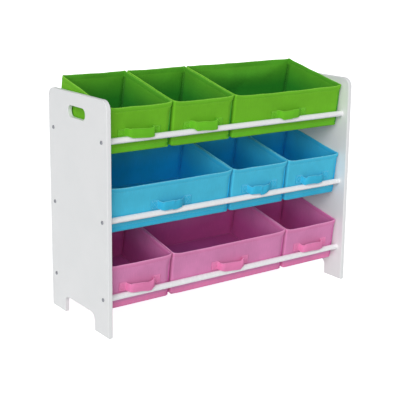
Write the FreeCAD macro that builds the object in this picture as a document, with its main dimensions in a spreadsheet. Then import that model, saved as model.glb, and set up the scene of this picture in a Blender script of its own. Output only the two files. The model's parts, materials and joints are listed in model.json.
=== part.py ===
"""Toy organiser: two side panels, three tiers of paired rods and nine tilted fabric bins.

Frame: +X runs along the rods to the right-hand panel, -Y is the open front, +Z is up.
The origin is on the floor, midway between the panels and between their front and rear edges.
"""
import FreeCAD, Part
import os

import Sketcher

DIMENSIONS = {
    # side panels
    "overall_length": 806,
    "panel_depth": 300,
    "panel_height": 600,
    "panel_thickness": 12,
    "panel_corner_radius": 25,
    "panel_edge_radius": 1.5,
    "leg_width": 72,
    "arch_height": 45,
    "arch_radius": 18,
    "grip_length": 88,
    "grip_height": 30,
    "grip_drop": 49,
    # rods, their threaded end plugs and the bolts that hold them
    "rod_diameter": 16,
    "rod_wall": 1.2,
    "rod_span": 248,
    "lowest_rod": 96,
    "tier_pitch": 200,
    "plug_length": 24,
    "bolt_diameter": 6,
    "bolt_reach": 30,
    "bolt_slack": 0.4,
    "thread_slack": 0.05,
    "head_diameter": 10,
    "head_height": 1.8,
    "head_rounding": 0.9,
    "socket_corners": 4.6,
    "socket_depth": 1.1,
    # fabric bins
    "bin_tilt": 11,
    "front_lean": 4,
    "front_height": 120,
    "rear_height": 129,
    "rear_overhang": 6,
    "bin_gap": 4,
    "narrow_width": 191,
    "wall": 4,
    "floor_cloth": 1.6,
    "bin_corner_radius": 5,
    "rod_clearance": 0.3,
    # stiffening boards
    "board": 2,
    "board_slack": 0.1,
    "board_margin": 6,
    "base_board": 3,
    "base_margin": 0.8,
    # cloth handles and the ties under the bins
    "strap": 1.6,
    "handle_length": 124,
    "handle_tab": 22,
    "handle_slope": 7,
    "handle_height": 24,
    "handle_bulge": 17,
    "handle_rise": 8.6,
    "tie_width": 25,
    "tie_tab": 38,
    "tie_inset": 40,
}

TIERS = {"bottom": 0, "middle": 1, "top": 2}
PLACES = ("left", "centre", "right")
WIDE_PLACE = {"top": "right", "middle": "left", "bottom": "centre"}
ROWS = {"front": "-dims.rod_span / 2", "rear": "dims.rod_span / 2"}

INNER_LENGTH = "(dims.overall_length - 2 * dims.panel_thickness)"
ROD_RADIUS = "dims.rod_diameter / 2"
WIDE_WIDTH = f"({INNER_LENGTH} - 2 * dims.narrow_width - 4 * dims.bin_gap)"

# The bin's own frame has its origin on the rear rod's axis, Y along the bin's floor and Z square to it.
FLOOR_Z = "(dims.rod_diameter / 2 + dims.rod_clearance + dims.strap)"
FRONT_ROD_Y = "(-dims.rod_span * cos(dims.bin_tilt))"
FRONT_ROD_Z = "(dims.rod_span * sin(dims.bin_tilt))"
FRONT_Y = (
    f"({FRONT_ROD_Y} + (dims.rod_diameter / 2 + dims.rod_clearance"
    f" + ({FLOOR_Z} - {FRONT_ROD_Z}) * sin(dims.front_lean)) / cos(dims.front_lean))"
)
REAR_Y = "dims.rear_overhang"
FACE_TILT = "(dims.bin_tilt - dims.front_lean)"

doc = FreeCAD.newDocument("toy_organiser")
subparts = []


def fill_sheet():
    """Put the driving dimensions in the document's spreadsheet, one alias a row."""
    sheet = doc.addObject("Spreadsheet::Sheet", "dims")
    for row, (alias, value) in enumerate(DIMENSIONS.items(), start=1):
        sheet.set(f"A{row}", alias)
        sheet.set(f"B{row}", str(value))
        sheet.setAlias(f"B{row}", alias)
    doc.recompute()


def rod_height(tier):
    """Height of a tier's rods above the floor."""
    return f"dims.lowest_rod + {TIERS[tier]} * dims.tier_pitch"


def new_body(label, several=False):
    """Add a sub-part's body; a body of several solids is a group of like pieces."""
    body = doc.addObject("PartDesign::Body", label)
    body.Label = label
    body.AllowCompound = several
    subparts.append(body)
    return body


def place(body, x="0", y="0", z="0", tilt=None):
    """Bind a body's Placement, turned about X by the tilt in degrees."""
    turned = FreeCAD.Rotation(FreeCAD.Vector(1, 0, 0), 1 if tilt else 0)
    body.Placement = FreeCAD.Placement(FreeCAD.Vector(0, 0, 0), turned)
    for axis, value in zip("xyz", (x, y, z)):
        body.setExpression(f"Placement.Base.{axis}", value)
    if tilt:
        body.setExpression("Placement.Rotation.Angle", tilt)


def origin_plane(body, plane):
    """Find one of a body's own origin planes."""
    return next(item for item in body.Origin.OriginFeatures if item.Role == plane)


def new_sketch(body, name, plane="YZ_Plane", offset=None):
    """Attach a sketch to one of the body's origin planes, at an optional distance from it."""
    sketch = body.newObject("Sketcher::SketchObject", f"{body.Name}_{name}")
    sketch.AttachmentSupport = [(origin_plane(body, plane), "")]
    sketch.MapMode = "FlatFace"
    if offset:
        sketch.setExpression("AttachmentOffset.Base.z", offset)
    return sketch


def add_polygon(sketch, corners):
    """Draw a closed polygon whose corners are pairs of expressions."""
    values = [work_out(sketch, corner) for corner in corners]
    first = sketch.GeometryCount
    count = len(corners)
    for number in range(count):
        start = FreeCAD.Vector(*values[number], 0)
        finish = FreeCAD.Vector(*values[(number + 1) % count], 0)
        sketch.addGeometry(Part.LineSegment(start, finish))
    for number in range(count):
        following = first + (number + 1) % count
        sketch.addConstraint(Sketcher.Constraint("Coincident", first + number, 2, following, 1))
    for number, corner in enumerate(corners):
        pin_point(sketch, first + number, 1, corner)


def work_out(sketch, corner):
    """Work out a corner's numbers, so that each element is drawn where its constraints hold it."""
    return tuple(float(sketch.evalExpression(text)) for text in corner)


def pin_point(sketch, geometry, end, corner):
    """Hold one end or the centre of an element at a pair of expressions from the sketch's origin."""
    for kind, number, text in zip(("DistanceX", "DistanceY"), work_out(sketch, corner), corner):
        index = sketch.addConstraint(Sketcher.Constraint(kind, -1, 1, geometry, end, number))
        sketch.setExpression(f"Constraints[{index}]", text)


def add_circle(sketch, across, up, radius):
    """Draw a circle from expressions for its centre and radius."""
    middle = FreeCAD.Vector(*work_out(sketch, (across, up)), 0)
    size = work_out(sketch, [radius])[0]
    circle = sketch.addGeometry(Part.Circle(middle, FreeCAD.Vector(0, 0, 1), size))
    index = sketch.addConstraint(Sketcher.Constraint("Radius", circle, size))
    sketch.setExpression(f"Constraints[{index}]", radius)
    pin_point(sketch, circle, 3, (across, up))


def pad(body, sketch, length, midplane=True, reverse=False):
    """Pad a sketch, either half each way or from its plane."""
    feature = body.newObject("PartDesign::Pad", f"{sketch.Name}_pad")
    return extrude(feature, sketch, length, midplane, reverse)


def pocket(body, sketch, length, midplane=True, reverse=False):
    """Pocket a sketch and make sure that it took material away."""
    doc.recompute()
    before = body.Shape.Volume
    feature = body.newObject("PartDesign::Pocket", f"{sketch.Name}_pocket")
    extrude(feature, sketch, length, midplane, reverse)
    if not body.Shape.Volume < before - 1:
        raise RuntimeError(f"{feature.Name} cut nothing")
    return feature


def extrude(feature, sketch, length, midplane, reverse):
    """Set a pad or pocket up."""
    feature.Profile = sketch
    feature.SideType = "Symmetric" if midplane else "One side"
    feature.Reversed = reverse
    feature.setExpression("Length", length)
    doc.recompute()
    return feature


def mirror(body, features):
    """Repeat features on the other side of the body's own YZ plane."""
    copy = body.newObject("PartDesign::Mirrored", f"{body.Name}_mirrored")
    copy.Originals = features
    copy.MirrorPlane = (origin_plane(body, "YZ_Plane"), [""])
    body.Tip = copy
    doc.recompute()


def fillet(body, name, radius, wanted):
    """Round every edge of the body's last feature that the test picks."""
    last = body.Tip
    names = [f"Edge{i}" for i, edge in enumerate(last.Shape.Edges, start=1) if wanted(edge)]
    feature = body.newObject("PartDesign::Fillet", f"{body.Name}_{name}")
    feature.Base = (last, names)
    feature.setExpression("Radius", radius)
    doc.recompute()


def runs_along(edge, axis):
    """Tell whether an edge is straight and lies along an axis."""
    if not isinstance(edge.Curve, Part.Line):
        return False
    direction = edge.Curve.Direction
    return abs(getattr(direction, axis)) > 0.99


def make_side_panel(label, side):
    """Side panel: board with two legs, a hand grip and six bolt holes."""
    body = new_body(label)
    outline = new_sketch(body, "outline")
    half = "dims.panel_depth / 2"
    inner = f"({half} - dims.leg_width)"
    add_polygon(outline, [
        (f"-{half}", "0"),
        (f"-{inner}", "0"),
        (f"-{inner}", "dims.arch_height"),
        (inner, "dims.arch_height"),
        (inner, "0"),
        (half, "0"),
        (half, "dims.panel_height"),
        (f"-{half}", "dims.panel_height"),
    ])
    pad(body, outline, "dims.panel_thickness")
    top = DIMENSIONS["panel_height"]
    arch = DIMENSIONS["arch_height"]
    fillet(body, "top_corners", "dims.panel_corner_radius",
           lambda edge: runs_along(edge, "x") and edge.CenterOfMass.z > top - 1)
    fillet(body, "arch_corners", "dims.arch_radius",
           lambda edge: runs_along(edge, "x") and abs(edge.CenterOfMass.z - arch) < 1)
    grip = new_sketch(body, "grip")
    grip_z = "(dims.panel_height - dims.grip_drop)"
    left, right = "-dims.grip_length / 2", "dims.grip_length / 2"
    low, high = f"{grip_z} - dims.grip_height / 2", f"{grip_z} + dims.grip_height / 2"
    add_polygon(grip, [(left, low), (right, low), (right, high), (left, high)])
    pocket(body, grip, "2 * dims.panel_thickness")
    grip_middle = DIMENSIONS["panel_height"] - DIMENSIONS["grip_drop"]
    grip_half = DIMENSIONS["grip_height"] / 2
    fillet(body, "grip_ends", "dims.grip_height / 2 - 0.5",
           lambda edge: runs_along(edge, "x") and abs(abs(edge.CenterOfMass.z - grip_middle) - grip_half) < 0.1)
    skin = DIMENSIONS["panel_thickness"] / 2
    fillet(body, "edges", "dims.panel_edge_radius",
           lambda edge: abs(abs(edge.BoundBox.XMin) - skin) < 0.01 and edge.BoundBox.XLength < 0.01)
    holes = new_sketch(body, "bolt_holes")
    for tier in TIERS:
        for row in ROWS.values():
            add_circle(holes, row, rod_height(tier), "(dims.bolt_diameter + dims.bolt_slack) / 2")
    pocket(body, holes, "2 * dims.panel_thickness")
    place(body, x=f"{side} * (dims.overall_length - dims.panel_thickness) / 2")


def make_rod(tier, row):
    """Rod: thin steel tube between the panels."""
    body = new_body(f"{tier}_{row}_rod")
    section = new_sketch(body, "section")
    add_circle(section, "0", "0", ROD_RADIUS)
    add_circle(section, "0", "0", f"{ROD_RADIUS} - dims.rod_wall")
    pad(body, section, INNER_LENGTH)
    place(body, y=ROWS[row], z=rod_height(tier))


def circles_at_rods(sketch, radius):
    """Draw one circle at each of the six rod ends of a panel."""
    for tier in TIERS:
        for row in ROWS.values():
            add_circle(sketch, row, rod_height(tier), radius)


def make_rod_plugs(label, side):
    """Threaded plugs, one pressed in each rod end at one panel."""
    body = new_body(label, several=True)
    section = new_sketch(body, "section")
    circles_at_rods(section, f"{ROD_RADIUS} - dims.rod_wall")
    circles_at_rods(section, "dims.bolt_diameter / 2 + dims.thread_slack")
    pad(body, section, "dims.plug_length")
    place(body, x=f"{side} * ({INNER_LENGTH} - dims.plug_length) / 2")


def make_bolts(label, side):
    """Button-head bolts, one through the panel into each rod end."""
    body = new_body(label, several=True)
    inward = side > 0
    shanks = new_sketch(body, "shanks")
    circles_at_rods(shanks, "dims.bolt_diameter / 2")
    pad(body, shanks, "dims.bolt_reach", midplane=False, reverse=inward)
    heads = new_sketch(body, "heads")
    circles_at_rods(heads, "dims.head_diameter / 2")
    pad(body, heads, "dims.head_height", midplane=False, reverse=not inward)
    crown = side * DIMENSIONS["head_height"]
    fillet(body, "crowns", "dims.head_rounding", lambda edge: abs(edge.CenterOfMass.x - crown) < 0.01)
    sockets = new_sketch(body, "sockets", offset=f"{side} * dims.head_height")
    for tier in TIERS:
        for row in ROWS.values():
            corners = []
            for turn in range(0, 360, 60):
                across = f"{row} + dims.socket_corners / 2 * cos({turn})"
                up = f"{rod_height(tier)} + dims.socket_corners / 2 * sin({turn})"
                corners.append((across, up))
            add_polygon(sockets, corners)
    pocket(body, sockets, "dims.socket_depth", midplane=False, reverse=not inward)
    place(body, x=f"{side} * dims.overall_length / 2")


def front_y(height, inset="0"):
    """Y of the leaning front wall at a height over the floor's underside, set in from its outer face."""
    return f"{FRONT_Y} + ({height}) * tan(dims.front_lean) + ({inset}) / cos(dims.front_lean)"


def bin_section(sketch):
    """Draw the bin's outline seen from its side: floor, rear wall, sloping rim and leaning front."""
    add_polygon(sketch, [
        (FRONT_Y, FLOOR_Z),
        (REAR_Y, FLOOR_Z),
        (REAR_Y, f"{FLOOR_Z} + dims.rear_height"),
        (front_y("dims.front_height"), f"{FLOOR_Z} + dims.front_height"),
    ])


def hollow_section(sketch):
    """Draw the bin's inside seen from its side, carried on above the rim."""
    above = "dims.rear_height + dims.bin_gap"
    add_polygon(sketch, [
        (front_y("dims.floor_cloth", "dims.wall"), f"{FLOOR_Z} + dims.floor_cloth"),
        (f"{REAR_Y} - dims.wall", f"{FLOOR_Z} + dims.floor_cloth"),
        (f"{REAR_Y} - dims.wall", f"{FLOOR_Z} + {above}"),
        (front_y(above, "dims.wall"), f"{FLOOR_Z} + {above}"),
    ])


def end_board_sections(sketch, slack, rise):
    """Draw the edges of the front and rear boards: slack widens them, rise lifts their tops."""
    near = f"(dims.wall - dims.board) / 2 - {slack}"
    far = f"(dims.wall + dims.board) / 2 + {slack}"
    low = f"dims.board_margin - {slack}"
    front_top = f"dims.front_height - dims.board_margin + {rise}"
    rear_top = f"dims.rear_height - dims.board_margin + {rise}"
    add_polygon(sketch, [
        (front_y(low, near), f"{FLOOR_Z} + {low}"),
        (front_y(low, far), f"{FLOOR_Z} + {low}"),
        (front_y(front_top, far), f"{FLOOR_Z} + {front_top}"),
        (front_y(front_top, near), f"{FLOOR_Z} + {front_top}"),
    ])
    add_polygon(sketch, [
        (f"{REAR_Y} - ({far})", f"{FLOOR_Z} + {low}"),
        (f"{REAR_Y} - ({near})", f"{FLOOR_Z} + {low}"),
        (f"{REAR_Y} - ({near})", f"{FLOOR_Z} + {rear_top}"),
        (f"{REAR_Y} - ({far})", f"{FLOOR_Z} + {rear_top}"),
    ])


def side_board_section(sketch, slack, rise):
    """Draw the face of a side board, which follows the sloping rim."""
    low = f"dims.board_margin - {slack}"
    front_top = f"dims.front_height - dims.board_margin + {rise}"
    rear_top = f"dims.rear_height - dims.board_margin + {rise}"
    inset = f"dims.wall + dims.board_margin - {slack}"
    add_polygon(sketch, [
        (front_y(low, inset), f"{FLOOR_Z} + {low}"),
        (f"{REAR_Y} - ({inset})", f"{FLOOR_Z} + {low}"),
        (f"{REAR_Y} - ({inset})", f"{FLOOR_Z} + {rear_top}"),
        (front_y(front_top, inset), f"{FLOOR_Z} + {front_top}"),
    ])


def place_in_tier(body, tier, centre):
    """Put a body that is drawn in the bin's own frame on its tier's rear rod."""
    place(body, x=centre, y=ROWS["rear"], z=rod_height(tier), tilt="dims.bin_tilt")


def make_bin_shell(name, tier, centre, width):
    """Fabric bin with a pocket in each wall, open at the rim, for its board."""
    body = new_body(f"{name}_bin")
    outline = new_sketch(body, "outline")
    bin_section(outline)
    pad(body, outline, width)
    fillet(body, "corners", "dims.bin_corner_radius",
           lambda edge: abs(edge.BoundBox.XLength) < 0.01 and edge.BoundBox.ZLength > edge.BoundBox.YLength)
    hollow = new_sketch(body, "hollow")
    hollow_section(hollow)
    pocket(body, hollow, f"{width} - 2 * dims.wall")
    above = "2 * dims.board_margin"
    end_pockets = new_sketch(body, "end_pockets")
    end_board_sections(end_pockets, "dims.board_slack", above)
    slot_width = f"{width} - 2 * dims.wall - 2 * dims.board_margin + 2 * dims.board_slack"
    pocket(body, end_pockets, slot_width)
    outer_face = f"({width} + dims.board) / 2 - dims.wall / 2 + dims.board_slack"
    side_pocket = new_sketch(body, "side_pocket", offset=outer_face)
    side_board_section(side_pocket, "dims.board_slack", above)
    cut = pocket(body, side_pocket, "dims.board + 2 * dims.board_slack", midplane=False)
    mirror(body, [cut])
    place_in_tier(body, tier, centre)


def make_wall_boards(name, tier, centre, width):
    """Four boards that stiffen the bin's walls."""
    body = new_body(f"{name}_wall_boards", several=True)
    ends = new_sketch(body, "ends")
    end_board_sections(ends, "0", "0")
    pad(body, ends, f"{width} - 2 * dims.wall - 2 * dims.board_margin")
    inner_face = f"({width} - dims.board) / 2 - dims.wall / 2"
    side = new_sketch(body, "side", offset=inner_face)
    side_board_section(side, "0", "0")
    board = pad(body, side, "dims.board", midplane=False)
    mirror(body, [board])
    place_in_tier(body, tier, centre)


def make_base_board(name, tier, centre, width):
    """Loose board on the bin's floor."""
    body = new_body(f"{name}_base_board")
    section = new_sketch(body, "section")
    low = "dims.floor_cloth"
    high = "dims.floor_cloth + dims.base_board"
    add_polygon(section, [
        (front_y(high, "dims.wall + dims.base_margin"), f"{FLOOR_Z} + {low}"),
        (f"{REAR_Y} - dims.wall - dims.base_margin", f"{FLOOR_Z} + {low}"),
        (f"{REAR_Y} - dims.wall - dims.base_margin", f"{FLOOR_Z} + {high}"),
        (front_y(high, "dims.wall + dims.base_margin"), f"{FLOOR_Z} + {high}"),
    ])
    pad(body, section, f"{width} - 2 * dims.wall - 2 * dims.base_margin")
    place_in_tier(body, tier, centre)


def make_handle(name, tier, centre):
    """Cloth handle: a strap sewn flat at both ends that stands out between them."""
    body = new_body(f"{name}_handle")
    strap = new_sketch(body, "strap", "XY_Plane")
    outer = [
        ("dims.handle_length / 2", "-dims.strap"),
        ("dims.handle_length / 2 - dims.handle_tab", "-dims.strap"),
        ("dims.handle_length / 2 - dims.handle_tab - dims.handle_slope", "-dims.handle_bulge - dims.strap"),
    ]
    inner = [
        ("dims.handle_length / 2", "0"),
        ("dims.handle_length / 2 - dims.handle_tab - dims.strap", "0"),
        ("dims.handle_length / 2 - dims.handle_tab - dims.handle_slope - dims.strap", "-dims.handle_bulge"),
    ]
    corners = [(f"-({across})", up) for across, up in outer]
    corners += outer[::-1]
    corners += inner
    corners += [(f"-({across})", up) for across, up in inner[::-1]]
    add_polygon(strap, corners)
    pad(body, strap, "dims.handle_height", midplane=False)
    reach = f"({ROD_RADIUS} + dims.rod_clearance)"
    place(
        body,
        x=centre,
        y=f"{ROWS['front']} + {reach} * cos({FACE_TILT}) - dims.handle_rise * sin({FACE_TILT})",
        z=f"{rod_height(tier)} + {reach} * sin({FACE_TILT}) + dims.handle_rise * cos({FACE_TILT})",
        tilt=FACE_TILT,
    )


def make_ties(name, tier, centre, width):
    """Two cloth ties, each sewn under the bin's floor and closed round the rear rod."""
    body = new_body(f"{name}_ties", several=True)
    loop_radius = f"{ROD_RADIUS} + dims.rod_clearance"
    offset = f"{width} / 2 - dims.tie_inset - dims.tie_width"
    loop = new_sketch(body, "loop", offset=offset)
    add_circle(loop, "0", "0", f"{loop_radius} + dims.strap")
    ring = pad(body, loop, "dims.tie_width", midplane=False)
    tab = new_sketch(body, "tab", offset=offset)
    add_polygon(tab, [
        ("-dims.tie_tab", loop_radius),
        ("0", loop_radius),
        ("0", f"{loop_radius} + dims.strap"),
        ("-dims.tie_tab", f"{loop_radius} + dims.strap"),
    ])
    sewn_tab = pad(body, tab, "dims.tie_width", midplane=False)
    bore = new_sketch(body, "bore", offset=f"{offset} + dims.tie_width")
    add_circle(bore, "0", "0", loop_radius)
    hole = pocket(body, bore, "dims.tie_width", midplane=False)
    mirror(body, [ring, sewn_tab, hole])
    place_in_tier(body, tier, centre)


def bins_of(tier):
    """Give each bin's name, centre and width from left to right along a tier."""
    edge = f"-{INNER_LENGTH} / 2 + dims.bin_gap"
    for place_name in PLACES:
        width = WIDE_WIDTH if place_name == WIDE_PLACE[tier] else "dims.narrow_width"
        yield f"{tier}_{place_name}", f"{edge} + {width} / 2", width
        edge = f"{edge} + {width} + dims.bin_gap"


def build():
    """Make every sub-part."""
    fill_sheet()
    for side_name, side in (("left", -1), ("right", 1)):
        make_side_panel(f"{side_name}_side_panel", side)
        make_bolts(f"{side_name}_bolts", side)
        make_rod_plugs(f"{side_name}_rod_plugs", side)
    for tier in TIERS:
        for row in ROWS:
            make_rod(tier, row)
        for name, centre, width in bins_of(tier):
            make_bin_shell(name, tier, centre, width)
            make_wall_boards(name, tier, centre, width)
            make_base_board(name, tier, centre, width)
            make_handle(name, tier, centre)
            make_ties(name, tier, centre, width)
    doc.recompute()


def write_steps():
    """Check every object, then write each sub-part's STEP file."""
    failed = [item.Name for item in doc.Objects if {"Invalid", "Error"} & set(item.State)]
    if failed:
        raise RuntimeError(f"objects that failed: {failed}")
    for body in subparts:
        if body.Shape.isNull() or not body.Shape.isValid():
            raise RuntimeError(f"{body.Label} has no valid shape")
    os.makedirs("parts", exist_ok=True)
    for body in subparts:
        body.Shape.exportStep(f"parts/{body.Label}.step")
        print(f"{body.Label}: {len(body.Shape.Solids)} solid(s), {body.Shape.Volume / 1000:.1f} cm3")


build()
write_steps()
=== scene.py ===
"""Looks of the toy storage rack: sewn cloth bins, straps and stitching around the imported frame."""

import json
import math
from collections import namedtuple

import bpy
from mathutils import Matrix, Vector, noise


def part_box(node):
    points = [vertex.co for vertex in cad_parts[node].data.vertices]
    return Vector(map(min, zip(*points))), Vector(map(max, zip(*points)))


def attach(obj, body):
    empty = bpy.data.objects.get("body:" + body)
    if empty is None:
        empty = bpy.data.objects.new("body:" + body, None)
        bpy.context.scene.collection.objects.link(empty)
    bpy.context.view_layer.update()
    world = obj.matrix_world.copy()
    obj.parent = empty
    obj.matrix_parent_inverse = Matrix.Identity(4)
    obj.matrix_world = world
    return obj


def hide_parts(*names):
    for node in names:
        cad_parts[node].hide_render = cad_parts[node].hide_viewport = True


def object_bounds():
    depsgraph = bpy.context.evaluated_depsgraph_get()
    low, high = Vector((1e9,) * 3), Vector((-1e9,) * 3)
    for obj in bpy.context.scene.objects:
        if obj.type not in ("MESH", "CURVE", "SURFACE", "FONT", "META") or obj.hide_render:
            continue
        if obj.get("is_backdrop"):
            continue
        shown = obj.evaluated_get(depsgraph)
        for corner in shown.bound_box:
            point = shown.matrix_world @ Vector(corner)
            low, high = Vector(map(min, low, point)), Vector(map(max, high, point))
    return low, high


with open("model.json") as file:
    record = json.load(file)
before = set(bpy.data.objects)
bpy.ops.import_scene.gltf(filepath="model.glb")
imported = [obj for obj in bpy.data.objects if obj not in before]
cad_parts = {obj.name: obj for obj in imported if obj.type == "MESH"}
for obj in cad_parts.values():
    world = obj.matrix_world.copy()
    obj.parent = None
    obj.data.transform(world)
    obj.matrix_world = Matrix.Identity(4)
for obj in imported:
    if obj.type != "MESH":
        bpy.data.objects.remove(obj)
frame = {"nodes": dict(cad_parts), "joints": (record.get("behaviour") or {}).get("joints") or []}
cad_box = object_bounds()

MM = 0.001
TIERS = ("bottom", "middle", "top")
PLACES = ("left", "centre", "right")
SIDES = ("left", "right")
ROWS = ("front", "rear")

# The bins' shape, as the CAD model has it. A bin's own frame has its origin on the rear rod's axis,
# Y along its floor and Z square to it.
BIN_TILT = math.radians(11)
FRONT_LEAN = math.radians(4)
FRONT_HEIGHT = 120 * MM
REAR_HEIGHT = 129 * MM
REAR_OVERHANG = 6 * MM
WALL = 4 * MM
RIM_WALL = 3 * MM
FLOOR_CLOTH = 1.6 * MM
STRAP = 1.6 * MM
ROD_CLEARANCE = 0.3 * MM
BASE_BOARD = 3 * MM
BASE_MARGIN = 0.8 * MM
BOARD_MARGIN = 6 * MM
HANDLE_RISE = 8.6 * MM

front_rod_low, front_rod_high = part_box("top_front_rod")
rear_rod_low, rear_rod_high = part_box("top_rear_rod")
ROD_RADIUS = (front_rod_high.z - front_rod_low.z) / 2
ROD_SPAN = (rear_rod_low.y + rear_rod_high.y - front_rod_low.y - front_rod_high.y) / 2
UNDERSIDE = ROD_RADIUS + ROD_CLEARANCE + STRAP
FRONT_ROD = Vector((0, -ROD_SPAN * math.cos(BIN_TILT), ROD_SPAN * math.sin(BIN_TILT)))
FACE_UP = Vector((0, math.sin(FRONT_LEAN), math.cos(FRONT_LEAN)))
FACE_OUT = Vector((0, -math.cos(FRONT_LEAN), math.sin(FRONT_LEAN)))
CONTACT = FRONT_ROD - (ROD_RADIUS + ROD_CLEARANCE) * FACE_OUT
FRONT_FOOT = CONTACT.y - (CONTACT.z - UNDERSIDE) * math.tan(FRONT_LEAN)

# Cloth, by tier: its name and its sRGB colours over a board, free of the board, inside and rubbed; the
# inside colour is darker, as painted shade.
CLOTHS = {
    "top": ("green", (114, 190, 40), (108, 194, 40), (46, 142, 42), (152, 214, 82)),
    "middle": ("blue", (78, 196, 228), (60, 187, 226), (24, 172, 234), (136, 216, 238)),
    "bottom": ("pink", (223, 140, 188), (237, 134, 184), (212, 97, 169), (238, 170, 210)),
}
CORNER_RADIUS = 5 * MM
TIGHTEST_CORNER = 1.2 * MM
SOFT_CORNER = 17 * MM
SOFT_CORNER_SIDE = 3 * MM
SOFT_CORNER_BEVEL = 0.8
CORNER_LIFT = 2.4 * MM
CORNER_REACH = 11 * MM
LOOSE_CORNER_LIFT = 8.64 * MM
LOOSE_CORNER_REACH = 17.6 * MM
PEAK_REACH = 10 * MM
CORNER_STEPS = 5
STEP = 11 * MM
WALL_ROWS = 9
BAND = 15 * MM
HEM = 12.6 * MM
WEAVE_PITCH = 0.9 * MM
STITCH_PITCH = 4.2 * MM
STITCH_LENGTH = 2.9 * MM
STITCH_RADIUS = 0.36 * MM

# How loosely the cloth hangs on its boards: out from a wall, down at the rim and in at the corners.
WIDE_SLACK = 6 * MM
NARROW_SLACK = 2.8 * MM
FRONT_HANG = 0.9 * MM
FRONT_LUMPS = 0.7 * MM
FRONT_PROUD = 0.1 * MM
SIDE_HANG = 0.7 * MM
SIDE_LUMPS = 1.1 * MM
SIDE_DEEP = 1.8 * MM
SIDE_PROUD = 0.6 * MM
LINING_FOLD = 3 * MM
LOOSE_LINING_FOLD = 13 * MM
FRONT_SAG = 3.8 * MM
RIM_SAG = 1.3 * MM
WIDE_BELLY = 1.6 * MM
RIM_RIPPLE = 1.2 * MM
LINING_GROOVE = 1.6 * MM
CORNER_RIDGE = 0.35 * MM

HANDLE_HEIGHT = 24 * MM
HANDLE_THICKNESS = 1.8 * MM
HANDLE_LEAN = math.radians(3)
HANDLE_LEAN_PER_HANG = math.radians(1.6)
HANDLE_SAMPLES = 130
PATCH_LOW = 3 * MM
PATCH_HIGH = 21 * MM
PATCH_SPANS = ((-60 * MM, -44.5 * MM), (45 * MM, 60 * MM))
# A handle, in millimetres: how far it hangs at its sewn ends, left, middle, right and last fold, and how
# far right of its middle that fold lies.
Handle = namedtuple("Handle", "ends left middle right last fold")
HANDLES = {
    "top": (
        Handle(3.6, 2.5, 4.2, 5.5, 4.5, 33),
        Handle(3.2, 4.5, 5.0, 7.0, 6.0, 33),
        Handle(2.6, 3.5, 2.2, 1.0, 0.0, 22),
    ),
    "middle": (
        Handle(0.0, 0.5, -0.6, 1.2, 0.0, 15),
        Handle(-1.5, -1.0, 0.5, 3.6, 1.5, 12),
        Handle(-2.6, -2.4, -2.4, -0.6, -2.0, 20),
    ),
    "bottom": (
        Handle(0.0, 0.5, 1.5, 4.2, -2.0, 33),
        Handle(0.0, 1.0, 2.6, 4.0, -2.4, 33),
        Handle(-1.6, -1.5, -2.2, -0.6, -3.0, 34),
    ),
}
TIE_WIDTH = 25 * MM
TIE_TAB = 38 * MM
TIE_INSET = 40 * MM
TIE_TURN = math.radians(318)

# Camera: metres, radians, millimetres of lens and a share of the frame.
CAMERA_PLACE = Vector((-1.5284, -2.0808, 0.9503))
CAMERA_YAW = 0.6273
CAMERA_PITCH = 0.2166
CAMERA_ROLL = 0.0111
CAMERA_LENS = 85.76
CAMERA_SHIFT = -0.1

# Light: how bright the white surroundings and the soft light are, the soft light's aim and size in
# degrees, and the glow of the light table and backdrop.
AMBIENT = 0.42
SOFT_LIGHT = 1.95
SOFT_LIGHT_AZIMUTH = 45
SOFT_LIGHT_ELEVATION = 24
SOFT_LIGHT_SPREAD = 50
TABLE_GLOW = 0.8

# Stage, in metres.
FLOOR_REACH = 14.0
BACKDROP_REACH = 10.0
BACKDROP_DEPTH = 3.5
BACKDROP_HEIGHT = 6.0


# ---------------------------------------------------------------- materials

def linear(colour):
    """Turn an sRGB colour of 0 to 255 into the linear colour that a shader takes."""
    channels = [c / 255 for c in colour]
    return tuple(c / 12.92 if c <= 0.04045 else ((c + 0.055) / 1.055) ** 2.4 for c in channels) + (1.0,)


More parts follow.
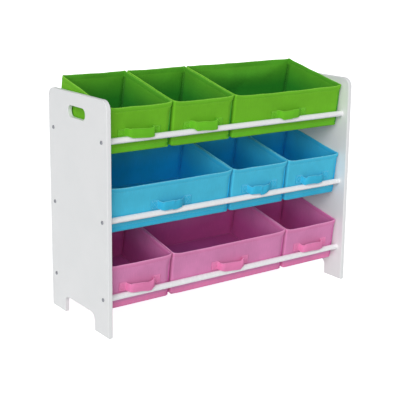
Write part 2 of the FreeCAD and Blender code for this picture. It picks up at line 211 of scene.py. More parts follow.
class Graph:
    """A material's node tree, with short calls that add and join nodes."""

    def __init__(self, name):
        self.material = bpy.data.materials.new(name)
        self.material.use_nodes = True
        self.nodes = self.material.node_tree.nodes
        self.links = self.material.node_tree.links
        self.shader = self.nodes["Principled BSDF"]

    def add(self, kind, **settings):
        node = self.nodes.new(kind)
        for key, value in settings.items():
            setattr(node, key, value)
        return node

    def join(self, output, target):
        self.links.new(output, target)

    def socket(self, name, value):
        self.shader.inputs[name].default_value = value

    def noise(self, vector, scale, detail=3.0, roughness=0.55):
        node = self.add("ShaderNodeTexNoise")
        node.inputs["Scale"].default_value = scale
        node.inputs["Detail"].default_value = detail
        node.inputs["Roughness"].default_value = roughness
        self.join(vector, node.inputs["Vector"])
        return node.outputs["Fac"]

    def spread(self, value, low, high, start=0.3, end=0.7):
        """Map a texture's middle range onto low to high."""
        node = self.add("ShaderNodeMapRange", clamp=True)
        for key, number in (("From Min", start), ("From Max", end), ("To Min", low), ("To Max", high)):
            node.inputs[key].default_value = number
        self.join(value, node.inputs["Value"])
        return node.outputs["Result"]

    def scaled(self, vector, scale):
        node = self.add("ShaderNodeMapping")
        node.inputs["Scale"].default_value = scale
        self.join(vector, node.inputs["Vector"])
        return node.outputs["Vector"]

    def blend(self, factor, first, second, mode="MIX"):
        node = self.add("ShaderNodeMix", data_type="RGBA", blend_type=mode)
        for socket, value in ((node.inputs[0], factor), (node.inputs[6], first), (node.inputs[7], second)):
            if isinstance(value, (float, tuple)):
                socket.default_value = value
            else:
                self.join(value, socket)
        return node.outputs[2]

    def grey(self, value):
        """Turn one number into a grey colour."""
        node = self.add("ShaderNodeCombineColor")
        for name in ("Red", "Green", "Blue"):
            self.join(value, node.inputs[name])
        return node.outputs["Color"]

    def bump(self, height, strength, distance, under=None):
        node = self.add("ShaderNodeBump")
        node.inputs["Strength"].default_value = strength
        node.inputs["Distance"].default_value = distance
        self.join(height, node.inputs["Height"])
        if under is not None:
            self.join(under, node.inputs["Normal"])
        return node.outputs["Normal"]

    def waves(self, vector, axis, pitch):
        """Ridges of one pitch across one axis of a vector in metres."""
        node = self.add("ShaderNodeTexWave", wave_type="BANDS", bands_direction=axis, wave_profile="SIN")
        node.inputs["Scale"].default_value = 2 * math.pi / (20 * pitch)
        node.inputs["Distortion"].default_value = 0.6
        node.inputs["Detail Scale"].default_value = 0.4
        self.join(vector, node.inputs["Vector"])
        return node.outputs["Fac"]

    def calculate(self, operation, first, second):
        node = self.add("ShaderNodeMath", operation=operation)
        for socket, value in zip(node.inputs, (first, second)):
            if isinstance(value, float):
                socket.default_value = value
            else:
                self.join(value, socket)
        return node.outputs[0]


def cloth_material(name, backed, free, inside, worn):
    """Plain-woven cloth: duller where a board lies behind it, with slubs, a nap and paler edges, and painted
    shade inside, darker toward the floor.
    """
    g = Graph(name)
    place = g.add("ShaderNodeTexCoord").outputs["Object"]
    along = g.add("ShaderNodeUVMap", uv_map="cloth").outputs["UV"]
    backing = g.add("ShaderNodeAttribute", attribute_name="backing").outputs["Fac"]
    wear = g.add("ShaderNodeAttribute", attribute_name="wear").outputs["Fac"]
    # The darker inside colour and the mix toward it, which grows toward the bin's floor, are painted shade.
    lining = g.add("ShaderNodeAttribute", attribute_name="lining").outputs["Fac"]
    colour = g.blend(backing, linear(free), linear(backed))
    colour = g.blend(g.calculate("MINIMUM", lining, 1.0), colour, linear(inside))
    patchy = g.spread(g.noise(place, 14.0), 0.93, 1.06)
    slubs = g.spread(g.noise(g.scaled(along, (900.0, 40.0, 1.0)), 1.0, detail=4.0), 0.94, 1.05)
    colour = g.blend(1.0, colour, g.grey(g.calculate("MULTIPLY", patchy, slubs)), "MULTIPLY")
    rubbed = g.calculate("MULTIPLY", wear, g.spread(g.noise(place, 160.0), 0.25, 1.0))
    colour = g.blend(rubbed, colour, linear(worn))
    g.join(colour, g.shader.inputs["Base Color"])
    g.join(g.spread(g.noise(place, 320.0), 0.78, 0.94), g.shader.inputs["Roughness"])
    g.socket("Specular IOR Level", 0.12)
    g.socket("Sheen Weight", 0.03)
    g.socket("Sheen Roughness", 0.4)
    weave = g.calculate("MAXIMUM", g.waves(along, "X", WEAVE_PITCH), g.waves(along, "Y", WEAVE_PITCH))
    creases = g.noise(g.scaled(place, (18.0, 18.0, 30.0)), 1.0, detail=5.0)
    normal = g.bump(weave, 0.35, 0.00022)
    normal = g.bump(g.noise(place, 900.0), 0.3, 0.0003, under=normal)
    normal = g.bump(creases, 0.35, 0.0022, under=normal)
    g.join(normal, g.shader.inputs["Normal"])
    return g.material


def thread_material(name, colour):
    """Sewing thread: twisted, with a slight shine."""
    g = Graph(name)
    place = g.add("ShaderNodeTexCoord").outputs["Object"]
    shade = g.spread(g.noise(place, 700.0), 0.85, 1.1)
    g.join(g.blend(1.0, linear(colour), g.grey(shade), "MULTIPLY"), g.shader.inputs["Base Color"])
    g.join(g.spread(g.noise(place, 500.0), 0.5, 0.7), g.shader.inputs["Roughness"])
    g.join(g.bump(g.noise(place, 2500.0), 0.4, 0.0002), g.shader.inputs["Normal"])
    return g.material


def paint_material():
    """White satin paint rolled on fibreboard: a fine stipple and faint uneven gloss."""
    g = Graph("white_panel_paint")
    place = g.add("ShaderNodeTexCoord").outputs["Object"]
    tint = g.spread(g.noise(place, 5.0, detail=4.0), 0.0, 1.0)
    g.join(g.blend(tint, linear((233, 234, 234)), linear((238, 238, 238))), g.shader.inputs["Base Color"])
    g.join(g.spread(g.noise(place, 38.0, detail=5.0), 0.34, 0.5), g.shader.inputs["Roughness"])
    normal = g.bump(g.noise(place, 620.0, detail=2.0), 0.18, 0.0003)
    normal = g.bump(g.noise(g.scaled(place, (26.0, 26.0, 5.0)), 1.0), 0.08, 0.002, under=normal)
    g.join(normal, g.shader.inputs["Normal"])
    g.socket("Coat Weight", 0.12)
    g.socket("Coat Roughness", 0.3)
    return g.material


def coat_material():
    """White powder coat on the rods: glossy, with the coat's own orange peel."""
    g = Graph("white_powder_coat")
    place = g.add("ShaderNodeTexCoord").outputs["Object"]
    tint = g.spread(g.noise(place, 9.0), 0.0, 1.0)
    g.join(g.blend(tint, linear((242, 241, 243)), linear((248, 247, 248))), g.shader.inputs["Base Color"])
    g.join(g.spread(g.noise(place, 60.0), 0.2, 0.32), g.shader.inputs["Roughness"])
    g.join(g.bump(g.noise(place, 420.0, detail=2.0), 0.16, 0.0004), g.shader.inputs["Normal"])
    g.socket("Coat Weight", 0.4)
    g.socket("Coat Roughness", 0.12)
    return g.material


def metal_material(name, colour, rough_low, rough_high):
    """Plated steel with turning marks."""
    g = Graph(name)
    place = g.add("ShaderNodeTexCoord").outputs["Object"]
    shade = g.spread(g.noise(place, 450.0), 0.8, 1.1)
    g.join(g.blend(1.0, linear(colour), g.grey(shade), "MULTIPLY"), g.shader.inputs["Base Color"])
    g.join(g.spread(g.noise(g.scaled(place, (80.0, 900.0, 900.0)), 1.0), rough_low, rough_high),
           g.shader.inputs["Roughness"])
    g.join(g.bump(g.noise(place, 1500.0), 0.15, 0.0002), g.shader.inputs["Normal"])
    g.socket("Metallic", 1.0)
    return g.material


def board_material():
    """Grey-brown chipboard with flecks."""
    g = Graph("grey_board")
    place = g.add("ShaderNodeTexCoord").outputs["Object"]
    flecks = g.spread(g.noise(place, 380.0, detail=6.0), 0.0, 1.0, 0.4, 0.62)
    g.join(g.blend(flecks, linear((150, 137, 118)), linear((186, 174, 152))), g.shader.inputs["Base Color"])
    g.join(g.spread(g.noise(place, 90.0), 0.8, 0.95), g.shader.inputs["Roughness"])
    g.join(g.bump(g.noise(place, 800.0), 0.4, 0.0004), g.shader.inputs["Normal"])
    return g.material


def floor_material():
    """The pale top of a studio light table, which glows a little."""
    g = Graph("studio_floor")
    place = g.add("ShaderNodeTexCoord").outputs["Object"]
    tint = g.spread(g.noise(place, 2.0), 0.0, 1.0)
    g.join(g.blend(tint, (0.93, 0.93, 0.93, 1.0), (0.95, 0.95, 0.95, 1.0)), g.shader.inputs["Base Color"])
    g.socket("Roughness", 0.7)
    g.socket("Specular IOR Level", 0.1)
    g.socket("Emission Color", (1.0, 1.0, 1.0, 1.0))
    g.socket("Emission Strength", TABLE_GLOW)
    return g.material


# ---------------------------------------------------------------- meshes

class Skin:
    """A mesh that is gathered ring by ring, with cloth coordinates, backing, painted inside shade and wear.
    """

    def __init__(self):
        self.points, self.faces, self.layout = [], [], []
        self.shades = {"backing": [], "lining": [], "wear": []}

    def point(self, place, layout, **shades):
        self.points.append(place)
        self.layout.append(layout)
        for label, values in self.shades.items():
            values.append(shades.get(label, 0.0))
        return len(self.points) - 1

    def bridge(self, rings, closed=True):
        """Join rings of equal length, each an index list, into a skin of four-sided faces."""
        count = len(rings[0])
        for lower, upper in zip(rings, rings[1:]):
            for i in range(count if closed else count - 1):
                j = (i + 1) % count
                self.faces.append((lower[i], lower[j], upper[j], upper[i]))

    def cap(self, ring, flip=False):
        self.faces.append(tuple(reversed(ring)) if flip else tuple(ring))

    def build(self, name, matrix, material, body, nodes=()):
        """Make the piece, ride it on its body and hide the CAD nodes it stands for."""
        mesh = bpy.data.meshes.new(name)
        mesh.from_pydata([matrix @ p for p in self.points], [], self.faces)
        uv = mesh.uv_layers.new(name="cloth")
        for loop in mesh.loops:
            uv.data[loop.index].uv = self.layout[loop.vertex_index]
        for label, values in self.shades.items():
            mesh.attributes.new(label, "FLOAT", "POINT").data.foreach_set("value", values)
        for polygon in mesh.polygons:
            polygon.use_smooth = True
        mesh.materials.append(material)
        mesh.update()
        piece = bpy.data.objects.new(name, mesh)
        bpy.context.scene.collection.objects.link(piece)
        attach(piece, body)
        if nodes:
            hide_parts(*nodes)
        return piece


def smooth_step(value):
    """Ease from 0 to 1."""
    value = min(max(value, 0.0), 1.0)
    return value * value * (3 - 2 * value)


def face_y(height, inset=0.0):
    """Y of the leaning front wall at a height over the bin's underside."""
    return FRONT_FOOT + height * math.tan(FRONT_LEAN) + inset / math.cos(FRONT_LEAN)


class Bin:
    """One bin's sizes, its place and the way its cloth hangs."""

    def __init__(self, tier, place, number):
        name = f"{tier}_{place}"
        self.name = name
        self.body = f"{name}_bin_unit"
        low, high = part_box(f"{name}_bin")
        self.half = (high.x - low.x) / 2
        joint = next(j for j in frame["joints"] if j["child"] == self.body)
        self.matrix = Matrix.Translation(joint["pos_m"]) @ Matrix.Rotation(BIN_TILT, 4, "X")
        self.seed = Vector((3.7 * number, 1.9 * number, 5.3 * number))
        self.wide = self.half > 0.15
        self.slack = WIDE_SLACK if self.wide else NARROW_SLACK
        self.handle = HANDLES[tier][PLACES.index(place)]
        self.fold = LOOSE_LINING_FOLD if name == "top_right" else LINING_FOLD
        self.cut = name == "bottom_centre"
        self.across = round(2 * self.half / STEP)
        self.back = round(-FRONT_FOOT / STEP)

    def rim(self, share_back):
        """Height of the rim over the underside, from 0 at the front to 1 at the rear."""
        return FRONT_HEIGHT + (REAR_HEIGHT - FRONT_HEIGHT) * share_back

    def outline(self, inset, front_height):
        """Walk a rounded rectangle: each point has its place, outward normal, wall number and share.

        The walls are 0 front, 1 right, 2 rear and 3 left, and a corner has no number. The front right
        corner rounds more softly along the front, except at the rim."""
        half, front, rear = self.half - inset, face_y(front_height, inset), REAR_OVERHANG - inset
        tight = max(CORNER_RADIUS - 2 * inset, TIGHTEST_CORNER)
        stiff = smooth_step((front_height / FRONT_HEIGHT - 0.8) / 0.17)
        loose = max(1 - 4 * inset / SOFT_CORNER, 0) * (1 - stiff)
        before = (tight + (SOFT_CORNER - CORNER_RADIUS) * loose, tight, tight, tight)
        after = (tight + SOFT_CORNER_SIDE * loose, tight, tight, tight)
        corners = [Vector(spot) for spot in ((half, front), (half, rear), (-half, rear), (-half, front))]
        for number, corner in enumerate(corners):
            last = corners[number - 1]
            way = (corner - last).normalized()
            normal = Vector((way.y, -way.x))
            steps = self.back if number % 2 else self.across
            start, finish = last + way * after[number - 1], corner - way * before[number]
            for k in range(steps + 1):
                yield start.lerp(finish, k / steps), normal, number, k / steps
            centre = finish - normal * after[number]
            bevel = 1 + (SOFT_CORNER_BEVEL * loose if number == 0 else 0)
            for k in range(1, CORNER_STEPS):
                angle = math.pi / 2 * k / CORNER_STEPS
                ahead, aside = math.sin(angle), math.cos(angle)
                turned = normal * aside * before[number] + way * ahead * after[number]
                place = centre + normal * (aside ** bevel * after[number])
                place += way * (ahead ** bevel * before[number])
                yield place, turned.normalized(), None, k / CORNER_STEPS

    def hang(self, wall, share, level, place, inset=0.0):
        """Outward shift of the cloth at a share along a wall and a level from floor 0 to rim 1.

        The front and the sides lie near their boards, the rear hangs slacker, and its inner cloth folds in."""
        lined = inset >= WALL - 0.5 * MM
        if wall is None:
            return LINING_GROOVE * math.sin(math.pi * share) if lined and 0.08 < level < 0.88 else 0.0
        swell = math.sin(math.pi * share) ** 0.7 * math.sin(math.pi * min(max(level, 0.0), 1.0) ** 1.2)
        lumps = noise.noise(place * 13 + self.seed) + 0.5 * noise.noise(place * 31 + self.seed)
        if wall == 0:
            return min(swell * (FRONT_LUMPS * lumps - FRONT_HANG), FRONT_PROUD)
        if wall == 2:
            broad = noise.noise(place * 7 + self.seed)
            across = math.sin(math.pi * share ** 0.9)
            above = level - 0.96 + 0.26 * across
            reach = 0.3 if above < 0 else 0.13
            fold = self.fold * across ** 1.2 * math.exp(-(above / reach) ** 2) if lined else 0.0
            return swell * self.slack * (1.6 * broad + 0.5 * lumps - 0.4) - fold
        return min(max(swell * (SIDE_LUMPS * lumps - SIDE_HANG), -SIDE_DEEP), SIDE_PROUD)

    def sag(self, wall, share, level, place):
        """Downward shift of the rim between the corners, which stand up as peaks."""
        if wall is None:
            return 0.0
        length = 2 * self.half if wall in (0, 2) else REAR_OVERHANG - FRONT_FOOT
        from_corner = min(share, 1 - share) * length
        loose = FRONT_SAG if wall == 0 else RIM_SAG
        belly = WIDE_BELLY * math.sin(math.pi * (1 - share) ** 1.6) if self.wide and wall == 0 else 0.0
        ripple = RIM_RIPPLE * noise.noise(place * 22 + self.seed)
        return (1 - math.exp(-from_corner / PEAK_REACH)) * level ** 4 * (loose + belly + ripple)

    def row(self, base, value, inset):
        """One ring of the cloth, at a distance over the floor, under the rim or as a share between.

        The cloth's lumps are read at its outer face, so that both faces hang alike."""
        front_height = self.height(base, value, 0.0)
        ring = []
        for flat, normal, wall, share in self.outline(inset, front_height):
            share_back = min(max((flat.y - FRONT_FOOT) / (REAR_OVERHANG - FRONT_FOOT), 0.0), 1.0)
            height = self.height(base, value, share_back)
            level = height / self.rim(share_back)
            outer = flat + normal * inset
            place = Vector((outer.x, outer.y, height))
            out = self.hang(wall, share, level, place, inset)
            down = self.sag(wall, share, level, place)
            ridge = CORNER_RIDGE * math.sin(math.pi * share) if wall is None and 0.1 < level < 0.97 else 0.0
            flat = flat + normal * (out + (ridge if inset < WALL / 2 else 0.0))
            lift = self.corner_lift(flat, height) if inset < WALL else 0.0
            ring.append((Vector((flat.x, flat.y, UNDERSIDE + height - down + lift)), normal))
        return ring

    def corner_lift(self, flat, height):
        """How far the band's lower edge rises at the bin's corners, where no board holds it down."""
        near_side = self.half - abs(flat.x)
        near_end = min(flat.y - FRONT_FOOT, REAR_OVERHANG - flat.y)
        lift, reach = CORNER_LIFT, CORNER_REACH
        if self.cut and flat.x < 0 and flat.y < FRONT_FOOT / 2:
            lift, reach = LOOSE_CORNER_LIFT, LOOSE_CORNER_REACH
        nearness = 1 - smooth_step(math.hypot(near_side, near_end) / reach)
        return lift * nearness * (1 - smooth_step(height / BAND))

    def height(self, base, value, share_back):
        """Height over the underside of a row that is measured from the floor, the rim or between."""
        rim = self.rim(share_back)
        if base == "floor":
            return value
        if base == "rim":
            return rim - value
        low, high = BAND + 6 * MM, rim - HEM - 5 * MM
        return low + (high - low) * value


def shell_profile():
    """Rows of the bin's cloth from under its floor, up outside, over the rim and down inside.

    A row has its kind, its distance or share, its inset, how far it is backed, how much painted inside shade
    it takes, and how far it is worn."""
    rows = [
        ("floor", 0.0, 60 * MM, 0, 0, 0),
        ("floor", 0.0, 14 * MM, 0, 0, 0),
        ("floor", 0.0, 5 * MM, 0, 0, 0.1),
        ("floor", 0.7 * MM, 2.1 * MM, 0, 0, 0.3),
        ("floor", 2.6 * MM, 0.6 * MM, 0, 0, 0.3),
        ("floor", 5.5 * MM, 0.0, 0, 0, 0.05),
        ("floor", BAND - 2 * MM, 0.0, 0, 0, 0),
        ("floor", BAND, 0.8 * MM, 0, 0, 0),
        ("floor", BAND + 1.8 * MM, 0.1 * MM, 0.7, 0, 0.05),
    ]
    levels = [k / (WALL_ROWS - 1) for k in range(WALL_ROWS)]
    rows += [("wall", level, 0.0, 1, 0, 0) for level in levels]
    rows += [
        ("rim", HEM + 1.6 * MM, 0.0, 1, 0, 0),
        ("rim", HEM, 0.35 * MM, 0.85, 0, 0),
        ("rim", HEM - 1.4 * MM, -0.2 * MM, 0.7, 0, 0),
        ("rim", 3 * MM, -0.2 * MM, 0.6, 0, 0.05),
        ("rim", 1 * MM, 0.15 * MM, 0.4, 0, 0.7),
        ("rim", 0.1 * MM, 0.9 * MM, 0.2, 0, 0.9),
        ("rim", -0.3 * MM, RIM_WALL / 2, 0.2, 0.2, 0.9),
        ("rim", 0.1 * MM, RIM_WALL - 0.9 * MM, 0.2, 0.4, 0.7),
        ("rim", 1 * MM, RIM_WALL - 0.15 * MM, 0.3, 0.7, 0.3),
        ("rim", 3 * MM, RIM_WALL + 0.1 * MM, 0.5, 0.5, 0),
        ("rim", HEM - 1.4 * MM, WALL + 0.1 * MM, 0.6, 0.5, 0),
        ("rim", HEM, WALL - 0.35 * MM, 0.8, 0.5, 0),
        ("rim", HEM + 1.6 * MM, WALL, 1, 0.5, 0),
    ]
    # From the rim's inner side down the walls and over the floor the cloth takes ever more of the darker
    # inside colour: painted shade, deepest at the bottom.
    rows += [("wall", level, WALL, 1, 1.25 - 0.75 * level, 0) for level in reversed(levels)]
    rows += [
        ("floor", 10 * MM, WALL, 1, 1.3, 0),
        ("floor", 4 * MM, WALL + 0.2 * MM, 0.5, 1.3, 0),
        ("floor", FLOOR_CLOTH + 0.4 * MM, WALL + 0.7 * MM, 0, 1.3, 0),
        ("floor", FLOOR_CLOTH, WALL + 2 * MM, 0, 1, 0),
        ("floor", FLOOR_CLOTH, 60 * MM, 0, 1, 0),
    ]
    return rows


def make_shell(unit, material):
    """The sewn bin: one closed skin of cloth with a band, a hem and a rolled rim."""
    skin = Skin()
    rings, climb, last = [], 0.0, None
    for base, value, inset, backing, lining, wear in shell_profile():
        row = unit.row(base, value, inset)
        climb += (row[0][0] - last).length if last else 0.0
        last = row[0][0]
        walked, ring = 0.0, []
        for number, (place, _) in enumerate(row):
            walked += (place - row[number - 1][0]).length if number else 0.0
            ring.append(skin.point(place, (walked, climb), backing=backing, lining=lining, wear=wear))
        rings.append(ring)
    skin.bridge(rings)
    skin.cap(rings[0], flip=True)
    skin.cap(rings[-1])
    return skin.build(f"{unit.name}_cloth_shell", unit.matrix, material, unit.body,
                      [f"{unit.name}_bin"])


def make_wall_boards(unit, material):
    """The four boards inside the walls, bent as the cloth hangs."""
    skin = Skin()
    near, far = WALL / 2 - 0.8 * MM, WALL / 2 + 0.8 * MM
    levels = [("floor", BOARD_MARGIN + 4 * MM)] + [("wall", k / 4) for k in range(5)] + [("rim", HEM)]
    sheets = {inset: [unit.row(base, value, inset) for base, value in levels] for inset in (near, far)}
    walls = list(unit.outline(near, 0.0))
    for number in range(4):
        picked = [i for i, (_, _, wall, share) in enumerate(walls) if wall == number and 0.02 < share < 0.98]
        rings = []
        for level in range(len(levels)):
            outer = [sheets[near][level][i][0] for i in picked]
            inner = [sheets[far][level][i][0] for i in reversed(picked)]
            rings.append([skin.point(p, (p.x + p.y, p.z)) for p in outer + inner])
        skin.bridge(rings)
        for ring, flip in ((rings[0], True), (rings[-1], False)):
            half = len(ring) // 2
            for i in range(half - 1):
                quad = (ring[i], ring[i + 1], ring[-i - 2], ring[-i - 1])
                skin.cap(quad, flip)
    return skin.build(f"{unit.name}_stiffeners", unit.matrix, material, unit.body,
                      [f"{unit.name}_wall_boards"])


def make_base_board(unit, material):
    """The loose board on the floor, wrapped in the bin's cloth."""
    skin = Skin()
    edge = WALL + BASE_MARGIN
    low = FLOOR_CLOTH + 0.05 * MM
    high = FLOOR_CLOTH + BASE_BOARD
    rows = [
        (low, 60 * MM, 0),
        (low, edge + 1.5 * MM, 0),
        (low + 0.6 * MM, edge + 0.2 * MM, 0.1),
        (high - 0.9 * MM, edge + 0.1 * MM, 0.3),
        (high - 0.1 * MM, edge + 0.9 * MM, 0.5),
        (high, edge + 4 * MM, 0),
        (high, edge + 20 * MM, 0),
        (high, edge + 45 * MM, 0),
        (high, edge + 75 * MM, 0),
    ]
    rings = []
    for height, inset, wear in rows:
        ring = []
        for place, _ in unit.row("floor", height, inset):
            wave = 0.3 * MM * noise.noise(place * 25 + unit.seed) if height == high else 0.0
            # The board's top takes the full darker inside colour: painted shade.
            ring.append(skin.point(place + Vector((0, 0, wave)), (place.x, place.y), lining=1.0, wear=wear))
        rings.append(ring)
    skin.bridge(rings)
    skin.cap(rings[0], flip=True)
    skin.cap(rings[-1])
    return skin.build(f"{unit.name}_floor_board", unit.matrix, material, unit.body,
                      [f"{unit.name}_base_board"])


def strip_ring(skin, centre, across, out, width, thickness, along):
    """One cross-section of a flat strap, with rounded edges and a sewn channel near each."""
    edge, channel = 0.7 * MM, 2.6 * MM
    half = width / 2
    shape = [
        (-half, 0.2), (-half + edge, 0.5), (-half + channel - edge, 0.5), (-half + channel, 0.3),
        (-half + channel + edge, 0.5), (0.0, 0.5), (half - channel - edge, 0.5), (half - channel, 0.3),
        (half - channel + edge, 0.5), (half - edge, 0.5), (half, 0.2),
    ]
    loop = shape + [(position, -depth) for position, depth in reversed(shape)]
    ring = []
    for position, depth in loop:
        place = centre + across * position + out * (depth * thickness)
        wear = 0.6 if abs(position) > half - edge - 0.1 * MM else 0.0
        ring.append(skin.point(place, (along, position), wear=wear))
    return ring


def build_strip(skin, path, thickness):
    """Sweep a flat strap along a path of (centre, across, out, width)."""
    rings, along, last = [], 0.0, None
    for centre, across, out, width in path:
        along += (centre - last).length if last else 0.0
        last = centre
        rings.append(strip_ring(skin, centre, across, out, width, thickness, along))
    skin.bridge(rings)
    skin.cap(rings[0], flip=True)
    skin.cap(rings[-1])


def spline(points, samples):
    """A smooth line of so many samples through a few points, Catmull-Rom by distance."""
    padded = [2 * points[0] - points[1]] + points + [2 * points[-1] - points[-2]]
    line = []
    for i in range(samples):
        place = i / (samples - 1) * (len(points) - 1)
        k = min(int(place), len(points) - 2)
        u = place - k
        a, b, c, d = padded[k:k + 4]
        line.append(0.5 * (2 * b + (c - a) * u + (2 * a - 5 * b + 4 * c - d) * u ** 2
                           + (3 * b - a - 3 * c + d) * u ** 3))
    return line


def handle_path(unit):
    """The strap's centre line: sewn flat, out square to the wall, along before the rod and back.

    A knot has its place along the wall, its distance out from it and its hang, in millimetres."""
    lift = HANDLE_THICKNESS / MM / 2 + 0.15
    ends, left, middle, right, last, fold = unit.handle
    over_rod = min(ends, 1.0)
    turn = 37.5 - fold
    knots = [
        (-62, lift, ends), (-52, lift, ends), (-44, lift, ends),
        (-41.5, 3.0, over_rod), (-39.5, 9.0, 0), (-36.5, 15.2, 0),
        (-30, 18.2, left), (-18, 19.2, (left + middle) / 2), (-4, 19.8, middle),
        (fold - 21, 19.9, right), (fold - 10, 19.2, right), (fold - 1.5, 18.4, last),
        (fold + 0.3 * turn, 15.6, 0), (fold + 0.6 * turn, 10.0, 0), (fold + 0.85 * turn, 4.6, 0),
        (39.5, 1.8, over_rod), (44, lift, ends), (52, lift, ends), (62, lift, ends),
    ]
    line = spline([Vector(knot) * MM for knot in knots], HANDLE_SAMPLES)
    base = CONTACT + (HANDLE_RISE + HANDLE_HEIGHT / 2) * FACE_UP
    past_rod = 2 * ROD_RADIUS + 0.4 * MM
    path = []
    for i, place in enumerate(line):
        before, after = line[max(i - 1, 0)], line[min(i + 1, len(line) - 1)]
        way = Vector((after.x - before.x, after.y - before.y)).normalized()
        clear = smooth_step((place.y - past_rod) / (1.6 * MM))
        twist = (HANDLE_LEAN + HANDLE_LEAN_PER_HANG * max(place.z / MM, 0)) * clear
        wobble = 0.25 * MM * noise.noise(place * 60 + unit.seed)
        out = Vector((-way.y, 0, 0)) + FACE_OUT * way.x
        across = FACE_UP * math.cos(twist) - out * math.sin(twist)
        shift = unit.hang(0, 0.5 + place.x / (2 * unit.half), 0.45, Vector((place.x, FRONT_FOOT, 0.05)))
        settle = shift * (1 - smooth_step(place.y / (12 * MM)))
        pinch = (1 - clear) * max(2.2 * MM * smooth_step(place.y / (6 * MM)), ends * MM)
        centre = base + Vector((place.x, 0, 0)) + FACE_OUT * (place.y + settle + wobble * clear)
        centre -= FACE_UP * (place.z + pinch / 2)
        leaning = out * math.cos(twist) + FACE_UP * math.sin(twist)
        path.append((centre, across, leaning, HANDLE_HEIGHT - pinch))
    return path


def make_handle(unit, material):
    """The cloth handle on the bin's front."""
    skin = Skin()
    build_strip(skin, handle_path(unit), HANDLE_THICKNESS)
    return skin.build(f"{unit.name}_cloth_handle", unit.matrix, material, unit.body,
                      [f"{unit.name}_handle"])


def tie_path(x):
    """A tie's centre line: from under the floor back over the rod, round it and up against itself."""
    radius = ROD_RADIUS + ROD_CLEARANCE + STRAP / 2
    tab_steps, turn_steps = 8, 40
    across = Vector((-1, 0, 0))
    path = []
    for k in range(tab_steps + 1):
        y = -TIE_TAB * (1 - k / tab_steps)
        path.append((Vector((x, y, radius)), across, Vector((0, 0, 1)), TIE_WIDTH))
    for k in range(1, turn_steps + 1):
        angle = math.pi / 2 - TIE_TURN * k / turn_steps
        out = Vector((0, math.cos(angle), math.sin(angle)))
        path.append((Vector((x, 0, 0)) + out * radius, across, out, TIE_WIDTH))
    return path


def make_ties(unit, material):
    """The two ties that hold the bin to the rear rod."""
    skin = Skin()
    for side in (-1, 1):
        x = side * (unit.half - TIE_INSET - TIE_WIDTH / 2)
        build_strip(skin, tie_path(x), STRAP)
    return skin.build(f"{unit.name}_rod_ties", unit.matrix, material, unit.body, [f"{unit.name}_ties"])


def add_stitch(skin, place, along, normal):
    """One stitch: a plump dash of thread, pointed where it enters the cloth."""
    side = along.cross(normal).normalized()
    sides = 6
    rings = []
    for shift in (-0.3, 0.3):
        middle = place + along * (shift * STITCH_LENGTH)
        ring = []
        for k in range(sides):
            angle = 2 * math.pi * k / sides
            offset = (side * math.cos(angle) + normal * math.sin(angle)) * STITCH_RADIUS
            ring.append(skin.point(middle + offset, (middle.x, middle.z)))
        rings.append(ring)
    skin.bridge(rings)
    for ring, end in zip(rings, (-0.5, 0.5)):
        tip = skin.point(place + along * (end * STITCH_LENGTH) - normal * 0.3 * STITCH_RADIUS, (0, 0))
        for k in range(sides):
            a, b = ring[k], ring[(k + 1) % sides]
            skin.faces.append((a, b, tip) if end > 0 else (b, a, tip))


def sew(skin, points, closed=False):
    """Stitch along a line of (place, outward normal)."""
    ends = list(zip(points, points[1:] + points[:1] if closed else points[1:]))
    due = STITCH_PITCH / 2
    for (start, normal), (finish, _) in ends:
        length = (finish - start).length
        if length < 1e-9:
            continue
        way = (finish - start) / length
        while due <= length:
            add_stitch(skin, start + way * due, way, normal)
            due += STITCH_PITCH
        due -= length


def sewing_line(ring, side=1):
    """A shell row as a line of (place, normal), with the normal outward or, for side -1, inward."""
    return [(place, side * Vector((normal.x, normal.y, 0))) for place, normal in ring]


def make_stitches(unit, material):
    """Thread along the hem, inside and out, along the band and round the handle's sewn ends."""
    skin = Skin()
    sew(skin, sewing_line(unit.row("rim", HEM, 0.55 * MM)), closed=True)
    sew(skin, sewing_line(unit.row("floor", BAND, 0.8 * MM)), closed=True)
    sew(skin, sewing_line(unit.row("rim", HEM, WALL - 0.55 * MM), side=-1), closed=True)
    base = CONTACT + (HANDLE_RISE - unit.handle.ends * MM) * FACE_UP
    low, high = PATCH_LOW, PATCH_HIGH - max(unit.handle.ends, 0) * MM
    for start, finish in PATCH_SPANS:
        turns = (
            (start, low), (finish, low), (start, high), (finish, high),
            (start, low), (start, high), (finish, high), (finish, low),
        )
        corners = []
        for x, up in turns:
            shift = unit.hang(0, 0.5 + x / (2 * unit.half), 0.45, Vector((x, FRONT_FOOT, 0.05)))
            out = HANDLE_THICKNESS + 0.2 * MM + shift
            corners.append((base + Vector((x, 0, 0)) + up * FACE_UP + out * FACE_OUT, FACE_OUT))
        sew(skin, corners)
    return skin.build(f"{unit.name}_stitching", unit.matrix, material, unit.body)


# ---------------------------------------------------------------- carried-over CAD nodes

def dress(node, material):
    """Give a CAD node its material."""
    slots = frame["nodes"][node].data.materials
    slots.clear()
    slots.append(material)


def dress_frame():
    """Paint, coat and plate the rigid parts."""
    paint, coat = paint_material(), coat_material()
    bolt = metal_material("zinc_bolt_steel", (148, 150, 155), 0.32, 0.5)
    plug = metal_material("zinc_plug", (176, 180, 186), 0.3, 0.45)
    for side in SIDES:
        dress(f"{side}_side_panel", paint)
        dress(f"{side}_bolts", bolt)
        dress(f"{side}_rod_plugs", plug)
    for tier in TIERS:
        for row in ROWS:
            dress(f"{tier}_{row}_rod", coat)


def make_bins():
    """Every bin with its boards, handle, ties and stitches."""
    board = board_material()
    number = 0
    for tier in TIERS:
        word, *colours = CLOTHS[tier]
        cloth = cloth_material(f"{word}_cloth", *colours)
        thread = thread_material(f"{word}_thread", colours[-1])
        for place in PLACES:
            number += 1
            unit = Bin(tier, place, number)
            make_shell(unit, cloth)
            make_wall_boards(unit, board)
            make_base_board(unit, cloth)
            make_handle(unit, cloth)
            make_ties(unit, cloth)
            make_stitches(unit, thread)


# ---------------------------------------------------------------- stage

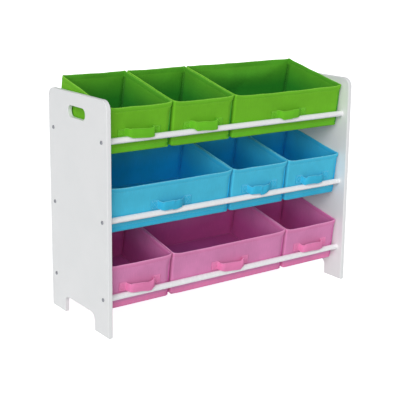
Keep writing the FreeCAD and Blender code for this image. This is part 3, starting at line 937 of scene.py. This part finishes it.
def add_stage(name, points, faces, material):
    """A piece of the studio that throws no diffuse light on the rack."""
    mesh = bpy.data.meshes.new(name)
    mesh.from_pydata(points, [], faces)
    mesh.materials.append(material)
    piece = bpy.data.objects.new(name, mesh)
    piece.visible_diffuse = False
    bpy.context.scene.collection.objects.link(piece)
    piece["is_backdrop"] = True
    return piece


def make_floor(material):
    """A wide pale floor."""
    steps = 28
    lines = [2 * FLOOR_REACH * i / steps - FLOOR_REACH for i in range(steps + 1)]
    points = [(x, y, 0.0) for y in lines for x in lines]
    faces = []
    for j in range(steps):
        for i in range(steps):
            corner = j * (steps + 1) + i
            faces.append((corner, corner + 1, corner + steps + 2, corner + steps + 1))
    add_stage("studio_floor", points, faces, material)


def make_backdrop(material):
    """A pale wall round the floor that curves up from it and that only the camera sees."""
    segments, rows = 64, 12
    points, faces = [], []
    for row in range(rows + 1):
        climb = row / rows
        reach = BACKDROP_REACH + BACKDROP_DEPTH * climb
        height = 0.01 + BACKDROP_HEIGHT * climb ** 2
        for k in range(segments):
            angle = 2 * math.pi * k / segments
            points.append((reach * math.cos(angle), reach * math.sin(angle), height))
    for row in range(rows):
        for k in range(segments):
            lower, beside = row * segments + k, row * segments + (k + 1) % segments
            faces.append((beside, lower, lower + segments, beside + segments))
    backdrop = add_stage("studio_backdrop", points, faces, material)
    backdrop.visible_glossy = False
    backdrop.visible_shadow = False


def make_light():
    """White surroundings and one very broad, soft light from above the front left."""
    world = bpy.data.worlds.new("white_surroundings")
    world.use_nodes = True
    background = world.node_tree.nodes["Background"]
    background.inputs["Color"].default_value = (0.96, 0.98, 1.0, 1.0)
    background.inputs["Strength"].default_value = AMBIENT
    bpy.context.scene.world = world
    data = bpy.data.lights.new("soft_light", "SUN")
    data.energy = SOFT_LIGHT
    data.angle = math.radians(SOFT_LIGHT_SPREAD)
    light = bpy.data.objects.new("soft_light", data)
    light.rotation_euler = (math.radians(90 - SOFT_LIGHT_ELEVATION), 0, math.radians(-SOFT_LIGHT_AZIMUTH))
    bpy.context.scene.collection.objects.link(light)


def make_camera():
    """The camera stands where the photograph was taken from."""
    forward = Vector((math.sin(CAMERA_YAW) * math.cos(CAMERA_PITCH),
                      math.cos(CAMERA_YAW) * math.cos(CAMERA_PITCH), -math.sin(CAMERA_PITCH)))
    level = Vector((math.cos(CAMERA_YAW), -math.sin(CAMERA_YAW), 0))
    upright = level.cross(forward)
    right = level * math.cos(CAMERA_ROLL) + upright * math.sin(CAMERA_ROLL)
    up = upright * math.cos(CAMERA_ROLL) - level * math.sin(CAMERA_ROLL)
    data = bpy.data.cameras.new("camera")
    data.lens = CAMERA_LENS
    data.shift_y = CAMERA_SHIFT
    data.clip_end = 60.0
    camera = bpy.data.objects.new("camera", data)
    turn = Matrix((right, up, -forward)).transposed().to_4x4()
    camera.matrix_world = Matrix.Translation(CAMERA_PLACE) @ turn
    bpy.context.scene.collection.objects.link(camera)
    bpy.context.scene.camera = camera


dress_frame()
make_bins()
pale = floor_material()
make_floor(pale)
make_backdrop(pale)
make_light()
make_camera()
bpy.context.scene.view_settings.view_transform = "Standard"
bpy.context.scene.view_settings.look = "None"

visual_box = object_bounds()
boxes = {"cad": cad_box, "visual": visual_box}
{name: [list(corner) for corner in box] for name, box in boxes.items()}
